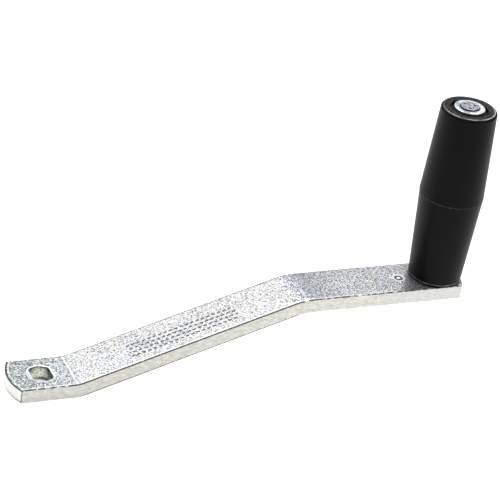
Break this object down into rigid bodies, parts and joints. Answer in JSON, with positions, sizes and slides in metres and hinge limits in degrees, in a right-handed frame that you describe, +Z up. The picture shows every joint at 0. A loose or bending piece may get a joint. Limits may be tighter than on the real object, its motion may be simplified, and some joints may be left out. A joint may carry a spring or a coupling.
{
  "type": "window crank handle",
  "caption": "Hand crank with a joggled flat-bar arm, a double-D drive hole and a free-spinning tapered grip on a long riveted spindle.",
  "frame": {"origin": "centre of the double-D drive hole, on the underside of the arm's drive end", "axes": "+X along the arm towards the grip, +Z up the grip (parallel to the drive shaft), Y across the arm, which is its plane of symmetry"},
  "size_m": [0.2654, 0.036, 0.1539],
  "materials": {
    "zinc_plated_bar": "bright zinc plate over hot-rolled bar, fine speckle",
    "zinc_plated_fastener": "bright zinc plate, smooth",
    "plain_steel": "drawn tube, oiled",
    "black_moulded_plastic": "satin moulded"
  },
  "bodies": {
    "crank": {"crank_arm": "zinc_plated_bar", "base_washer": "zinc_plated_fastener", "grip_sleeve": "plain_steel", "head_washer": "zinc_plated_fastener", "grip_spindle": "zinc_plated_fastener"},
    "spinning_grip": {"grip": "black_moulded_plastic"}
  },
  "joints": [
    {"name": "grip_spin", "type": "hinge", "parent": "crank", "child": "spinning_grip", "pos_m": [0.2286, 0, 0.048], "axis": [0, 0, 1], "continuous": true}
  ]
}
